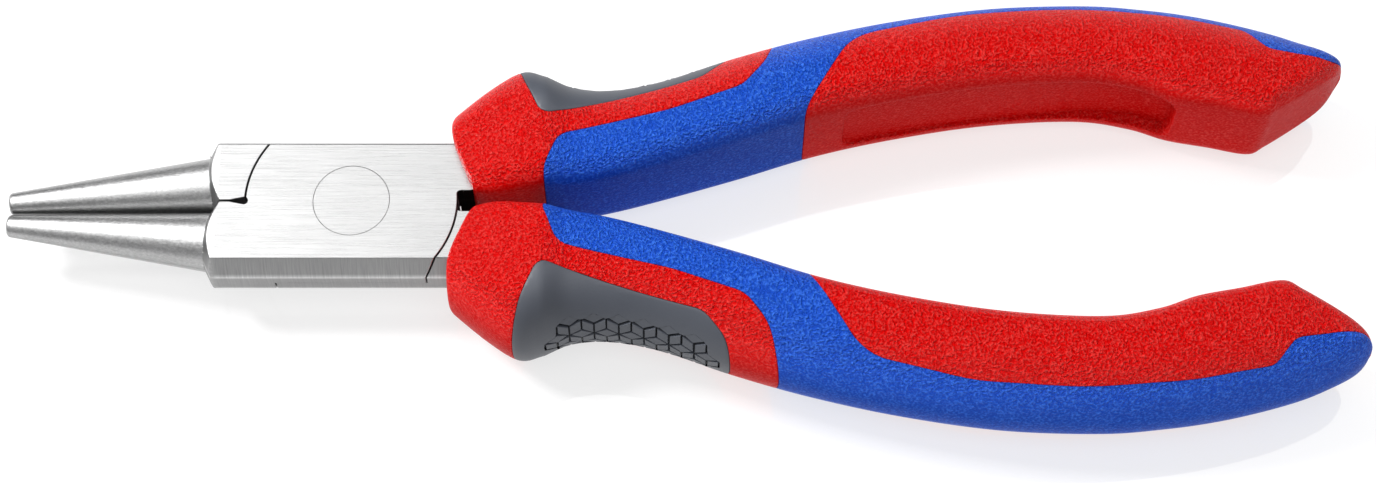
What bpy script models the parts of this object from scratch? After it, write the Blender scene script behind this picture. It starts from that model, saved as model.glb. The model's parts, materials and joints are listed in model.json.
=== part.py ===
"""Round nose pliers with two-colour moulded grips, 160 mm long.

Two forged levers cross in a lap joint and turn on one flush rivet. Each lever
carries a jaw in front, half of the joint in the middle and a flat tang behind
it, and a hard grip is moulded round each tang, with a soft skin and a thumb
pad let into it. The second lever and its grip are the first ones turned half
a turn about the tool's long axis.

Frame: the origin is on the rivet's axis in the joint's underside, +X points
to the handles, +Z is up out of the joint's top face, and the jaws are shut.
Lengths are written in millimetres and made metres when a mesh is built.
"""

import math

import bmesh
import bpy
from mathutils import Vector

MM = 0.001

# Joint block
JOINT_THICKNESS = 8.1
FACE_HALF_WIDTH = 7.4          # flat top and bottom faces
SIDE_HALF_WIDTH = 8.8          # upright side faces
SIDE_HALF_HEIGHT = 1.5         # their half height, with a bevel above and below
BLOCK_FRONT_X = -18.0
BLOCK_REAR_X = 13.0
LAP_RADIUS = 12.4              # the curved shoulders where the levers cross
SHOULDER_GAP = 0.28
LAP_GAP = 0.3                  # between the two lapped faces
CROTCH_HALF_WIDTH = 1.3        # between the tangs, behind the joint
SLIT_HALF_WIDTH = 0.14         # between the jaws' roots, in front of it
RELIEF_X = -12.95              # drilled relief at the slit's inner end
RELIEF_LENGTH = 1.5
RELIEF_HALF_WIDTH = 0.45
ARM_WRAP_DEG = 65              # how far round the lap the arms are cleared
ARM_REACH_X = 30.0             # the cleared space runs past the lever's own outline
ARM_REACH_Y = 14.0

# Rivet
RIVET_HEAD_R = 4.5
RIVET_SHANK_R = 3.2
RIVET_HEAD_DEPTH = 1.5
RIVET_CLEARANCE = 0.07
RIVET_AXIAL_CLEARANCE = 0.12

# Jaws
JAW_ROOT_X = -17.0
JAW_TIP_X = -41.0
JAW_ROOT_R = 3.5
JAW_TIP_R = 1.3
JAW_GAP = 0.2
JAW_TIP_ROUND = 0.35
JAW_SUNK = 2.5                 # length of the jaw's root inside the block
SHOULDER_SLOPE = 0.62          # the turned shoulder's set-back for each mm of radius
SHOULDER_OVERLAP = 1.0         # the shoulder's cone starts this far inside the jaw
SHOULDER_REACH = 16.0
SHOULDER_LENGTH = 12.0

# Grips
SKIN = 1.5                     # depth of the soft skin and of the thumb pad
FIT_GAP = 0.3
TANG_END_X = 104.0
TANG_INNER_CHAMFER = 0.35
LEAST_FILLET = 0.4             # limits of the rounding where a section gets small
LEAST_OUTER_DEPTH = 0.5
FILLET_SHARE = 0.35
OUTER_SHARE = 0.6
CORE_FIRST_ROW = 3             # the core under the skin stops short of both ends
CORE_LAST_ROW = -4
Z_REACH = 20.0                 # half height of every cutting prism
FILLET_STEPS = 3               # facets of the inner edge's rounding
OUTER_STEPS = 8                # facets round the palm side
ROWS_PER_STATION = 2

RIVET_FACETS = 48
JAW_FACETS = 36
RELIEF_FACETS = 16
LAP_STEP_DEG = 3.75
CORNER_STEP_DEG = 18

HALF_T = JOINT_THICKNESS / 2
JAW_SPLAY = math.atan((JAW_ROOT_R - JAW_TIP_R) / (JAW_ROOT_X - JAW_TIP_X))


# ---------------------------------------------------------------- mesh helpers

def make_material(name, colour, metallic, roughness):
    """A plain Principled finish."""
    material = bpy.data.materials.new(name)
    material.use_nodes = True
    shader = material.node_tree.nodes["Principled BSDF"]
    shader.inputs["Base Color"].default_value = (*colour, 1.0)
    shader.inputs["Metallic"].default_value = metallic
    shader.inputs["Roughness"].default_value = roughness
    return material


def mesh_object(name, bm):
    """Turn a bmesh in millimetres into an object in metres, faces pointing out."""
    bmesh.ops.recalc_face_normals(bm, faces=bm.faces)
    bmesh.ops.scale(bm, vec=(MM, MM, MM), verts=bm.verts)
    mesh = bpy.data.meshes.new(name)
    bm.to_mesh(mesh)
    bm.free()
    thing = bpy.data.objects.new(name, mesh)
    bpy.context.scene.collection.objects.link(thing)
    return thing


def prism(name, outline, low=-Z_REACH, high=Z_REACH):
    """Extrude a plan outline upright between two heights."""
    bm = bmesh.new()
    base = bm.faces.new([bm.verts.new((x, y, low)) for x, y in outline])
    grown = bmesh.ops.extrude_face_region(bm, geom=[base])["geom"]
    bmesh.ops.translate(
        bm,
        vec=(0, 0, high - low),
        verts=[item for item in grown if isinstance(item, bmesh.types.BMVert)],
    )
    return mesh_object(name, bm)


def bar(name, section, start_x, end_x):
    """Extrude a section in the YZ plane along X."""
    bm = bmesh.new()
    base = bm.faces.new([bm.verts.new((start_x, y, z)) for y, z in section])
    grown = bmesh.ops.extrude_face_region(bm, geom=[base])["geom"]
    bmesh.ops.translate(
        bm,
        vec=(end_x - start_x, 0, 0),
        verts=[item for item in grown if isinstance(item, bmesh.types.BMVert)],
    )
    return mesh_object(name, bm)


def turned(name, profile, base, axis, facets):
    """Spin a closed profile of (distance along the axis, radius) round the axis."""
    axis = axis.normalized()
    side = axis.orthogonal().normalized()
    bm = bmesh.new()
    loop = [bm.verts.new(base + axis * along + side * radius) for along, radius in profile]
    edges = [bm.edges.new((loop[i], loop[i + 1])) for i in range(len(loop) - 1)]
    bmesh.ops.spin(
        bm, geom=loop + edges, cent=base, axis=axis, angle=math.tau, steps=facets, use_merge=True
    )
    bmesh.ops.remove_doubles(bm, verts=bm.verts, dist=0.0005)
    return mesh_object(name, bm)


def loft(name, rings):
    """Skin a row of rings and close both ends."""
    bm = bmesh.new()
    rows = [[bm.verts.new(point) for point in ring] for ring in rings]
    count = len(rows[0])
    for row, after in zip(rows, rows[1:]):
        for i in range(count):
            j = (i + 1) % count
            bm.faces.new((row[i], row[j], after[j], after[i]))
    bm.faces.new(rows[0])
    bm.faces.new(rows[-1])
    return mesh_object(name, bm)


def combine(target, tool, operation):
    """Apply one exact Boolean to target and drop the tool."""
    modifier = target.modifiers.new("cut", "BOOLEAN")
    modifier.object = tool
    modifier.operation = operation
    modifier.solver = "EXACT"
    bpy.context.view_layer.update()
    depsgraph = bpy.context.evaluated_depsgraph_get()
    result = bpy.data.meshes.new_from_object(target.evaluated_get(depsgraph))
    target.modifiers.clear()
    target.data = result
    bpy.data.objects.remove(tool)
    return target


def copy_of(thing, name):
    """A second object with its own mesh."""
    twin = thing.copy()
    twin.data = thing.data.copy()
    twin.name = name
    bpy.context.scene.collection.objects.link(twin)
    return twin


# -------------------------------------------------------------- outline helpers

def rounded(corners):
    """Outline through corners given as (x, y, radius), each turned into an arc."""
    outline = []
    count = len(corners)
    for i in range(count):
        here = Vector(corners[i][:2])
        radius = corners[i][2]
        if radius == 0:
            outline.append(tuple(here))
            continue
        to_last = (Vector(corners[i - 1][:2]) - here).normalized()
        to_next = (Vector(corners[(i + 1) % count][:2]) - here).normalized()
        half = to_last.angle(to_next) / 2
        centre = here + (to_last + to_next).normalized() * (radius / math.sin(half))
        first = here + to_last * (radius / math.tan(half)) - centre
        last = here + to_next * (radius / math.tan(half)) - centre
        start = math.atan2(first.y, first.x)
        sweep = (math.atan2(last.y, last.x) - start + math.pi) % math.tau - math.pi
        steps = max(2, round(abs(sweep) / math.radians(CORNER_STEP_DEG)))
        for k in range(steps + 1):
            angle = start + sweep * k / steps
            outline.append((centre.x + radius * math.cos(angle), centre.y + radius * math.sin(angle)))
    return outline


def grown(outline, distance):
    """Move every side of an outline outwards by the same distance."""
    count = len(outline)
    area = sum(
        outline[i][0] * outline[(i + 1) % count][1] - outline[(i + 1) % count][0] * outline[i][1]
        for i in range(count)
    )
    turn = math.copysign(1.0, area)
    result = []
    for i in range(count):
        here = Vector(outline[i])
        before = (here - Vector(outline[i - 1])).normalized()
        after = (Vector(outline[(i + 1) % count]) - here).normalized()
        normal = Vector((before.y + after.y, -before.x - after.x)).normalized() * turn
        share = max(0.5, normal.dot(Vector((after.y, -after.x)) * turn))
        result.append(tuple(here + normal * (distance / share)))
    return result


def arc(radius, start_deg, end_deg):
    """Points on a circle round the rivet."""
    steps = max(1, round(abs(end_deg - start_deg) / LAP_STEP_DEG))
    angles = [math.radians(start_deg + (end_deg - start_deg) * i / steps) for i in range(steps + 1)]
    return [(radius * math.cos(a), radius * math.sin(a)) for a in angles]


def through(stations, per_span):
    """Smooth (Catmull-Rom) run of values through hand-set stations."""
    rows = []
    last = len(stations) - 1
    for i in range(last):
        p0, p1, p2, p3 = (stations[min(max(i + k, 0), last)] for k in (-1, 0, 1, 2))
        for k in range(per_span):
            t = k / per_span
            rows.append(tuple(
                b + 0.5 * t * ((c - a) + t * ((2 * a - 5 * b + 4 * c - d) + t * (3 * b - 3 * c + d - a)))
                for a, b, c, d in zip(p0, p1, p2, p3)
            ))
    rows.append(tuple(stations[-1]))
    return rows


# ---------------------------------------------------------------------- levers

def jaw_axis():
    """Root point and direction of the jaw, which touches its twin all the way along."""
    lean = math.hypot(1.0, math.tan(JAW_SPLAY))
    root = Vector((JAW_ROOT_X, -(JAW_ROOT_R * lean + JAW_GAP / 2), 0))
    return root, Vector((-math.cos(JAW_SPLAY), math.sin(JAW_SPLAY), 0))


def make_jaw():
    """Round tapered jaw with an eased tip, its root sunk into the block."""
    root, axis = jaw_axis()
    length = (JAW_ROOT_X - JAW_TIP_X) / math.cos(JAW_SPLAY)
    taper = (JAW_ROOT_R - JAW_TIP_R) / length
    profile = [
        (-JAW_SUNK, 0),
        (-JAW_SUNK, JAW_ROOT_R + taper * JAW_SUNK),
        (length - JAW_TIP_ROUND, JAW_TIP_R + taper * JAW_TIP_ROUND),
        (length - JAW_TIP_ROUND * 0.3, JAW_TIP_R - JAW_TIP_ROUND * 0.25),
        (length, JAW_TIP_R - JAW_TIP_ROUND),
        (length, 0),
    ]
    return turned("jaw", profile, root, axis, JAW_FACETS)


def make_front_cut():
    """Everything ahead of the shoulder turned round the jaw's root."""
    root, axis = jaw_axis()
    profile = [
        (SHOULDER_SLOPE * SHOULDER_OVERLAP, 0),
        (SHOULDER_SLOPE * SHOULDER_OVERLAP, JAW_ROOT_R - SHOULDER_OVERLAP),
        (-SHOULDER_SLOPE * (SHOULDER_REACH - JAW_ROOT_R), SHOULDER_REACH),
        (SHOULDER_LENGTH, SHOULDER_REACH),
        (SHOULDER_LENGTH, 0),
    ]
    return turned("front_cut", profile, root, axis, 2 * JAW_FACETS)


TANG = [
    # x, centre y, half width, half height, outer bevel in y, outer bevel in z
    (9.0, 5.05, 3.72, 4.02, 1.4, 2.5),
    (14.0, 5.05, 3.72, 4.02, 1.4, 2.5),
    (17.5, 5.45, 3.20, 3.98, 1.4, 2.2),
    (23.0, 6.50, 3.00, 3.80, 1.1, 1.4),
    (32.0, 9.30, 2.90, 3.40, 1.0, 1.0),
    (46.0, 13.80, 2.80, 3.10, 0.8, 0.8),
    (60.0, 17.60, 2.60, 2.90, 0.8, 0.8),
    (74.0, 20.40, 2.40, 2.70, 0.8, 0.8),
    (88.0, 21.20, 2.20, 2.50, 0.7, 0.7),
    (97.0, 20.00, 2.00, 2.30, 0.6, 0.6),
    (TANG_END_X, 18.40, 1.80, 2.20, 0.6, 0.6),
]


def tang_rings(spare):
    """Eight-sided sections of the tang, or of the hole it sits in when spare is above zero."""
    rings = []
    for x, y, half_width, half_height, bevel_y, bevel_z in through(TANG, 2):
        w = half_width + spare
        h = half_height + spare
        rings.append([
            (x, y - w + TANG_INNER_CHAMFER, -h),
            (x, y - w, -h + TANG_INNER_CHAMFER),
            (x, y - w, h - TANG_INNER_CHAMFER),
            (x, y - w + TANG_INNER_CHAMFER, h),
            (x, y + w - bevel_y, h),
            (x, y + w, h - bevel_z),
            (x, y + w, -h + bevel_z),
            (x, y + w - bevel_y, -h),
        ])
    return rings


def front_arm_outline():
    """Plan of the other lever's jaw side, ahead of the lap."""
    start = 180 + math.degrees(math.asin(SLIT_HALF_WIDTH / LAP_RADIUS))
    outline = arc(LAP_RADIUS, 180 - ARM_WRAP_DEG, start)
    outline += [
        (-ARM_REACH_X, -SLIT_HALF_WIDTH),
        (-ARM_REACH_X, ARM_REACH_Y),
        (outline[0][0], ARM_REACH_Y),
    ]
    return outline


def rear_arm_outline():
    """Plan of the other lever's tang side, behind the lap."""
    start = math.degrees(math.asin(CROTCH_HALF_WIDTH / LAP_RADIUS))
    outline = arc(LAP_RADIUS, start, -ARM_WRAP_DEG)
    outline += [
        (outline[-1][0], -ARM_REACH_Y),
        (ARM_REACH_X, -ARM_REACH_Y),
        (ARM_REACH_X, CROTCH_HALF_WIDTH),
    ]
    return outline


def make_lever():
    """Jaw, half of the lap joint and tang, forged in one; z is measured from mid-joint."""
    section = [
        (FACE_HALF_WIDTH, HALF_T),
        (SIDE_HALF_WIDTH, SIDE_HALF_HEIGHT),
        (SIDE_HALF_WIDTH, -SIDE_HALF_HEIGHT),
        (FACE_HALF_WIDTH, -HALF_T),
        (-FACE_HALF_WIDTH, -HALF_T),
        (-SIDE_HALF_WIDTH, -SIDE_HALF_HEIGHT),
        (-SIDE_HALF_WIDTH, SIDE_HALF_HEIGHT),
        (-FACE_HALF_WIDTH, HALF_T),
    ]
    lever = bar("lever", section, BLOCK_FRONT_X, BLOCK_REAR_X)
    combine(lever, make_front_cut(), "DIFFERENCE")
    combine(lever, loft("tang", tang_rings(0.0)), "UNION")
    combine(lever, prism("front_arm", front_arm_outline()), "DIFFERENCE")
    combine(lever, prism("rear_arm", rear_arm_outline()), "DIFFERENCE")
    relief = [
        (RELIEF_X + RELIEF_LENGTH / 2 * math.cos(a), RELIEF_HALF_WIDTH * math.sin(a))
        for a in (math.tau * i / RELIEF_FACETS for i in range(RELIEF_FACETS))
    ]
    combine(lever, prism("relief", relief), "DIFFERENCE")
    lap = arc(LAP_RADIUS + SHOULDER_GAP, 0, 360 - LAP_STEP_DEG)
    combine(lever, prism("lap", lap, -Z_REACH, LAP_GAP / 2), "DIFFERENCE")
    combine(lever, make_jaw(), "UNION")
    combine(lever, rivet_shape("rivet_hole", RIVET_CLEARANCE, 1.0), "DIFFERENCE")
    return lever


def rivet_shape(name, spare, past_face):
    """Rivet with a wide flush head at each end, or its hole when spare is above zero."""
    step = HALF_T - RIVET_HEAD_DEPTH
    if spare:
        step -= RIVET_AXIAL_CLEARANCE
    end = HALF_T + past_face
    shank = RIVET_SHANK_R + spare
    head = RIVET_HEAD_R + spare
    profile = [
        (-end, 0), (-end, head), (-step, head), (-step, shank),
        (step, shank), (step, head), (end, head), (end, 0),
    ]
    return turned(name, profile, Vector((0, 0, 0)), Vector((0, 0, 1)), RIVET_FACETS)


# ----------------------------------------------------------------------- grips

GRIP = [
    # inner x, inner y, outer x, outer y, half height, inner fillet, outer depth
    (13.4, 1.20, 10.2, 10.6, 5.8, 2.0, 3.4),
    (16.8, 0.75, 15.6, 15.2, 7.1, 2.4, 4.6),
    (20.0, 1.05, 19.6, 17.8, 7.9, 2.7, 6.0),
    (22.6, 1.35, 22.6, 17.2, 8.3, 2.9, 6.4),
    (25.6, 1.80, 25.8, 16.0, 7.8, 3.0, 7.0),
    (30.5, 2.75, 30.5, 15.7, 7.6, 3.0, 7.2),
    (36.5, 4.50, 36.5, 16.9, 7.7, 3.0, 7.2),
    (45.5, 7.40, 45.0, 19.9, 7.9, 3.0, 7.0),
    (55.0, 10.6, 54.0, 22.6, 8.0, 3.0, 7.0),
    (65.0, 13.0, 64.5, 25.0, 8.0, 3.0, 7.0),
    (76.0, 14.8, 76.0, 26.7, 8.0, 3.0, 7.0),
    (87.0, 15.4, 87.5, 27.1, 8.0, 3.0, 7.0),
    (93.5, 14.4, 95.0, 26.5, 8.0, 3.0, 7.0),
    (98.0, 12.8, 100.5, 25.7, 7.9, 3.0, 7.0),
    (103.0, 11.8, 105.5, 24.6, 7.7, 2.8, 7.0),
    (107.8, 10.8, 110.0, 23.3, 7.4, 2.6, 6.6),
    (110.0, 11.8, 112.8, 22.2, 7.1, 2.4, 5.6),
    (114.0, 14.4, 115.6, 20.7, 6.6, 2.0, 3.4),
    (116.9, 16.2, 117.4, 19.4, 5.3, 1.0, 1.4),
    (118.3, 17.1, 118.5, 18.0, 2.8, 0.2, 0.3),
]


def grip_ring(row, depth):
    """One closed section of the grip, or of the solid lying depth below its surface."""
    inner_x, inner_y, outer_x, outer_y, height, fillet, outer_depth = row
    inner = Vector((inner_x, inner_y))
    chord = Vector((outer_x, outer_y)) - inner
    across = chord.normalized()
    width = chord.length - 2 * depth
    height -= depth
    fillet = min(max(LEAST_FILLET, fillet - depth), FILLET_SHARE * width)
    outer_depth = min(max(LEAST_OUTER_DEPTH, outer_depth - depth), OUTER_SHARE * width)
    profile = []
    for i in range(FILLET_STEPS + 1):
        angle = math.pi - math.pi / 2 * i / FILLET_STEPS
        profile.append((fillet + fillet * math.cos(angle), height - fillet + fillet * math.sin(angle)))
    for i in range(OUTER_STEPS + 1):
        angle = math.pi / 2 - math.pi * i / OUTER_STEPS
        profile.append((width - outer_depth + outer_depth * math.cos(angle), height * math.sin(angle)))
    for i in range(FILLET_STEPS + 1):
        angle = -math.pi / 2 - math.pi / 2 * i / FILLET_STEPS
        profile.append((fillet + fillet * math.cos(angle), fillet - height + fillet * math.sin(angle)))
    ring = []
    for t, z in profile:
        plan = inner + across * (t + depth)
        ring.append((plan.x, plan.y, z))
    return ring


def grip_solid(name, depth=0.0, first=0, last=None):
    """The grip's whole envelope, or the solid lying depth below it between two rows."""
    rows = through(GRIP, ROWS_PER_STATION)
    last = len(rows) if last is None else last
    return loft(name, [grip_ring(row, depth) for row in rows[first:last]])


# Plan outlines of the zones, upright through the whole grip: (x, y, corner radius)
FRONT_FACE = [(0, -20, 0), (14.3, -20, 0), (14.3, 1.3, 0.4), (11.45, 7.5, 1.0), (11.45, 40, 0), (0, 40, 0)]
FRONT_ZONE = [
    (0, -20, 0), (22.7, -20, 0), (22.7, 2.6, 3.0), (24.4, 7.0, 2.5), (37.6, 10.3, 25.0),
    (46.0, 13.4, 3.5), (48.8, 17.0, 8.0), (50.6, 24.0, 8.0), (51.0, 45, 0), (0, 45, 0),
]
THUMB_ZONE = [
    (18.9, 45, 0), (19.0, 18.0, 5.0), (20.2, 14.0, 6.0), (22.35, 9.25, 1.4),
    (41.2, 15.1, 3.5), (43.9, 18.0, 4.0), (45.2, 23.0, 6.0), (45.4, 45, 0),
]
REAR_ZONE = [
    (53.2, -20, 0), (53.3, 10.3, 4.0), (59.3, 20.6, 7.0), (72.0, 23.7, 30.0), (85.0, 24.6, 60.0),
    (97.0, 23.6, 40.0), (106.2, 21.7, 2.0), (108.6, 18.7, 2.2), (115.5, 17.4, 4.0), (125, 14.0, 0),
    (125, -20, 0),
]
RECESS = [
    (57.6, 5, 0), (57.6, 11.95, 0.8), (66.0, 13.75, 30.0), (76.0, 15.4, 40.0), (87.0, 16.3, 40.0),
    (98.1, 14.9, 0.3), (97.6, 5, 0),
]
RECESS_LOW_Z = -5.0
RECESS_HIGH_Z = 4.7


def make_grip():
    """The hard base, its soft skin and its thumb pad, each a separate body."""
    whole = combine(grip_solid("whole"), prism("front_face", rounded(FRONT_FACE)), "DIFFERENCE")
    under_skin = SKIN + FIT_GAP / 2
    over_core = SKIN - FIT_GAP / 2
    front = rounded(FRONT_ZONE)
    rear = rounded(REAR_ZONE)
    thumb = rounded(THUMB_ZONE)

    base = combine(copy_of(whole, "grip_base"), prism("front_zone", front), "INTERSECT")
    combine(base, prism("thumb_zone", grown(thumb, FIT_GAP)), "DIFFERENCE")
    panel = combine(copy_of(whole, "panel"), prism("rear_zone", rear), "INTERSECT")
    combine(base, panel, "UNION")
    combine(base, grip_solid("core", under_skin, CORE_FIRST_ROW, CORE_LAST_ROW), "UNION")
    combine(base, loft("tang_hole", tang_rings(FIT_GAP)), "DIFFERENCE")
    combine(base, prism("recess", rounded(RECESS), RECESS_LOW_Z, RECESS_HIGH_Z), "DIFFERENCE")

    skin = combine(copy_of(whole, "soft_skin"), prism("front_zone", grown(front, FIT_GAP)), "DIFFERENCE")
    combine(skin, prism("rear_zone", grown(rear, FIT_GAP)), "DIFFERENCE")
    combine(skin, grip_solid("core", over_core, CORE_FIRST_ROW, CORE_LAST_ROW + 1), "DIFFERENCE")

    pad = combine(copy_of(whole, "thumb_pad"), prism("thumb_zone", thumb), "INTERSECT")
    combine(pad, grip_solid("core", over_core, CORE_FIRST_ROW, CORE_LAST_ROW + 1), "DIFFERENCE")
    bpy.data.objects.remove(whole)
    return base, skin, pad


# -------------------------------------------------------------------- assembly

def finish(thing, name, material, parent, smooth_deg=32):
    """Name a piece, give it its finish and hang it on its pivot."""
    thing.name = name
    thing.data.name = name
    thing.data.materials.clear()
    thing.data.materials.append(material)
    thing.data.shade_smooth()
    thing.data.set_sharp_from_angle(angle=math.radians(smooth_deg))
    thing.parent = parent
    return thing


def twin(thing, name, parent):
    """The same piece on the other lever, sharing its mesh."""
    other = bpy.data.objects.new(name, thing.data)
    bpy.context.scene.collection.objects.link(other)
    other.parent = parent
    return other


def pivot(name, half_turn):
    """Empty on the rivet's axis at mid-joint, turned over for the second lever."""
    empty = bpy.data.objects.new(name, None)
    empty.location = (0, 0, HALF_T * MM)
    empty.rotation_euler = (math.pi if half_turn else 0, 0, 0)
    bpy.context.scene.collection.objects.link(empty)
    return empty


for old in list(bpy.data.objects):
    bpy.data.objects.remove(old)

steel = make_material("steel", (0.62, 0.63, 0.64), 1.0, 0.32)
rivet_steel = make_material("rivet_steel", (0.66, 0.67, 0.68), 1.0, 0.28)
hard_red = make_material("hard_red", (0.72, 0.012, 0.012), 0.0, 0.45)
soft_blue = make_material("soft_blue", (0.012, 0.075, 0.60), 0.0, 0.55)
pad_grey = make_material("pad_grey", (0.065, 0.078, 0.10), 0.0, 0.6)

upper = pivot("upper_handle_pivot", False)
lower = pivot("lower_handle_pivot", True)

finish(make_lever(), "upper_lever", steel, upper)
twin(bpy.data.objects["upper_lever"], "lower_lever", lower)
finish(rivet_shape("rivet", 0.0, 0.0), "joint_rivet", rivet_steel, lower)

for shape, part, finish_of in zip(make_grip(), ("grip_base", "soft_skin", "thumb_pad"),
                                  (hard_red, soft_blue, pad_grey)):
    finish(shape, "upper_" + part, finish_of, upper)
    twin(shape, "lower_" + part, lower)
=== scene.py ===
"""Round nose pliers, 160 mm long, jaws shut, lying on a pale studio table.

Two forged levers lap at a flush rivet, and each tang carries a two-colour
moulded grip with a thumb pad. Every piece is drawn in millimetres for the
lever that lies on top, measured from the rivet's axis at the middle of the
joint, and the other lever's piece is the same one turned half a turn about X.
"""

import json
import math

import bmesh
import bpy
import numpy as np
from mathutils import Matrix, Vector

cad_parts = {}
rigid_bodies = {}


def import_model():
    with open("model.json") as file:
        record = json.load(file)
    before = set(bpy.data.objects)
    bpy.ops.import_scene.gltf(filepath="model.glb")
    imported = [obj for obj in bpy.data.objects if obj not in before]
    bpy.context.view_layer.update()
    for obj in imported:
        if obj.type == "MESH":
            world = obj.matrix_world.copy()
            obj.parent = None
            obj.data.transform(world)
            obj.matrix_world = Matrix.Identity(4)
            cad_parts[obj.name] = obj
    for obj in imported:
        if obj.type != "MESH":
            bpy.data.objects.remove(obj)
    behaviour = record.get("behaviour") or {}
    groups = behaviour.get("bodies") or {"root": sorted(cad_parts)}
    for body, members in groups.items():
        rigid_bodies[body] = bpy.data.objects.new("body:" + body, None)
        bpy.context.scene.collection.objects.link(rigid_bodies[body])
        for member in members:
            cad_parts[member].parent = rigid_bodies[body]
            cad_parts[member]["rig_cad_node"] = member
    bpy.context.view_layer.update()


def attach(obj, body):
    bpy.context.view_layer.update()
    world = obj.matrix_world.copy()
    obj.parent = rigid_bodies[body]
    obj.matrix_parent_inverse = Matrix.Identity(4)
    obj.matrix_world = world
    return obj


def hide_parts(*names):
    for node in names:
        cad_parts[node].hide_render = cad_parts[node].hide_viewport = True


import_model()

for lamp_or_camera in [o for o in bpy.data.objects if o.type in {"LIGHT", "CAMERA"}]:
    bpy.data.objects.remove(lamp_or_camera)
if "Cube" in bpy.data.objects and "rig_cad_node" not in bpy.data.objects["Cube"]:
    bpy.data.objects.remove(bpy.data.objects["Cube"])


# ------------------------------------------------------------------ forged levers
# Each lever is one drop forging of tool steel: a round jaw turned to a taper,
# half of the lap joint ground flat and bright, and a tang that runs on into
# the grip. The jaws' shoulders are turned round the leaning axis of each jaw.

MM = 0.001
HALF_THICK = 4.05
FACE_HALF_WIDTH = 7.4
FLANK_HALF_WIDTH = 8.8
FLANK_HALF_HEIGHT = 1.5
BLOCK_FRONT_X = -18.0
BLOCK_REAR_X = 13.0
LAP_RADIUS = 12.4
LAP_SEAM = 0.16
LAP_FACE_GAP = 0.03
LAP_STEP_DEG = 1.5
FRONT_ARM_DEG = 115
REAR_ARM_DEG = -65
SLIT = 0.1
CROTCH_Y = 1.3
CROTCH_CORNER = 0.4
RELIEF_START_X = -14.3
RELIEF_X = -12.63
RELIEF_RADIUS = 0.46
JAW_ROOT_X = -17.0
JAW_TIP_X = -41.0
JAW_ROOT_RADIUS = 3.5
JAW_TIP_RADIUS = 1.3
JAW_TIP_EASE = 0.35
JAW_GAP = 0.2
JAW_SUNK = 2.5
SHOULDER_SLOPE = 0.62
SHOULDER_REACH = 12.5
SHOULDER_LENGTH = 12.0
HEAD_HOLE_RADIUS = 4.52
SHANK_HOLE_RADIUS = 3.25
SHANK_HALF_LENGTH = 2.5
CUTTER_REACH = 9
BROKEN_EDGE = 0.07
# How far back from the tip, and how far in from its rim, each point of its rounding lies
JAW_TIP_ROUNDING = [(0.22, 0.02), (0.1, 0.1), (0.02, 0.22), (0.0, JAW_TIP_EASE)]
TANG_SECTIONS = [
    # x, centre y, half width, half height, outer bevel in y, outer bevel in z
    (9.0, 5.05, 3.72, HALF_THICK, 1.4, 2.5),
    (14.0, 5.05, 3.72, HALF_THICK, 1.4, 2.5),
    (17.5, 5.45, 3.20, 3.98, 1.4, 2.2),
    (23.0, 6.50, 3.00, 3.80, 1.1, 1.4),
    (30.0, 8.70, 2.90, 3.40, 1.0, 1.0),
]


def object_of(name, data):
    """A new object in the scene, made of this mesh, lamp or lens."""
    piece = bpy.data.objects.new(name, data)
    bpy.context.scene.collection.objects.link(piece)
    return piece


def placed(name, drawn, turned_over):
    """A copy of a mesh drawn in millimetres, in metres and on either lever."""
    mesh = drawn.copy()
    mesh.name = name
    side = -1 if turned_over else 1
    for vert in mesh.vertices:
        x, y, z = vert.co
        vert.co = (x * MM, side * y * MM, (side * z + HALF_THICK) * MM)
    return object_of(name, mesh)


def workpiece(name, bm):
    """A scratch solid in plain millimetres, with its faces pointing out."""
    bmesh.ops.recalc_face_normals(bm, faces=bm.faces)
    mesh = bpy.data.meshes.new(name)
    bm.to_mesh(mesh)
    bm.free()
    return object_of(name, mesh)


def arc(middle, radii, start_deg, end_deg, steps):
    """Points along an arc, both ends included, with a radius for each direction."""
    angles = np.radians(np.linspace(start_deg, end_deg, steps + 1))
    return [
        (middle[0] + radii[0] * math.cos(a), middle[1] + radii[1] * math.sin(a)) for a in angles
    ]


def slab(name, outline, direction, start, end):
    """Push a flat outline along Z, or a cross-section along X."""
    bm = bmesh.new()
    if direction == "Z":
        corners = [(a, b, start) for a, b in outline]
        step = (0, 0, end - start)
    else:
        corners = [(start, a, b) for a, b in outline]
        step = (end - start, 0, 0)
    base = bm.faces.new([bm.verts.new(corner) for corner in corners])
    pushed = bmesh.ops.extrude_face_region(bm, geom=[base])["geom"]
    moved = [part for part in pushed if isinstance(part, bmesh.types.BMVert)]
    bmesh.ops.translate(bm, vec=step, verts=moved)
    return workpiece(name, bm)


def lathe(name, profile, base, axis, facets):
    """Turn a profile of (distance along the axis, radius) round a leaning axis."""
    across = axis.orthogonal().normalized()
    bm = bmesh.new()
    loop = [bm.verts.new(base + axis * along + across * radius) for along, radius in profile]
    edges = [bm.edges.new(pair) for pair in zip(loop, loop[1:])]
    bmesh.ops.spin(
        bm, geom=loop + edges, cent=base, axis=axis, angle=math.tau, steps=facets, use_merge=True
    )
    bmesh.ops.remove_doubles(bm, verts=bm.verts, dist=0.0005)
    return workpiece(name, bm)


def frozen(piece):
    """The piece as its modifiers make it, as a plain mesh, with the modifiers gone."""
    bpy.context.view_layer.update()
    shaped = piece.evaluated_get(bpy.context.evaluated_depsgraph_get())
    mesh = bpy.data.meshes.new_from_object(shaped)
    piece.modifiers.clear()
    return mesh


def forge(blank, tool, operation):
    """Cut a tool out of the blank, or weld it on, and drop the tool."""
    step = blank.modifiers.new("forge", "BOOLEAN")
    step.object = tool
    step.operation = operation
    step.solver = "EXACT"
    blank.data = frozen(blank)
    bpy.data.objects.remove(tool)


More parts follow.
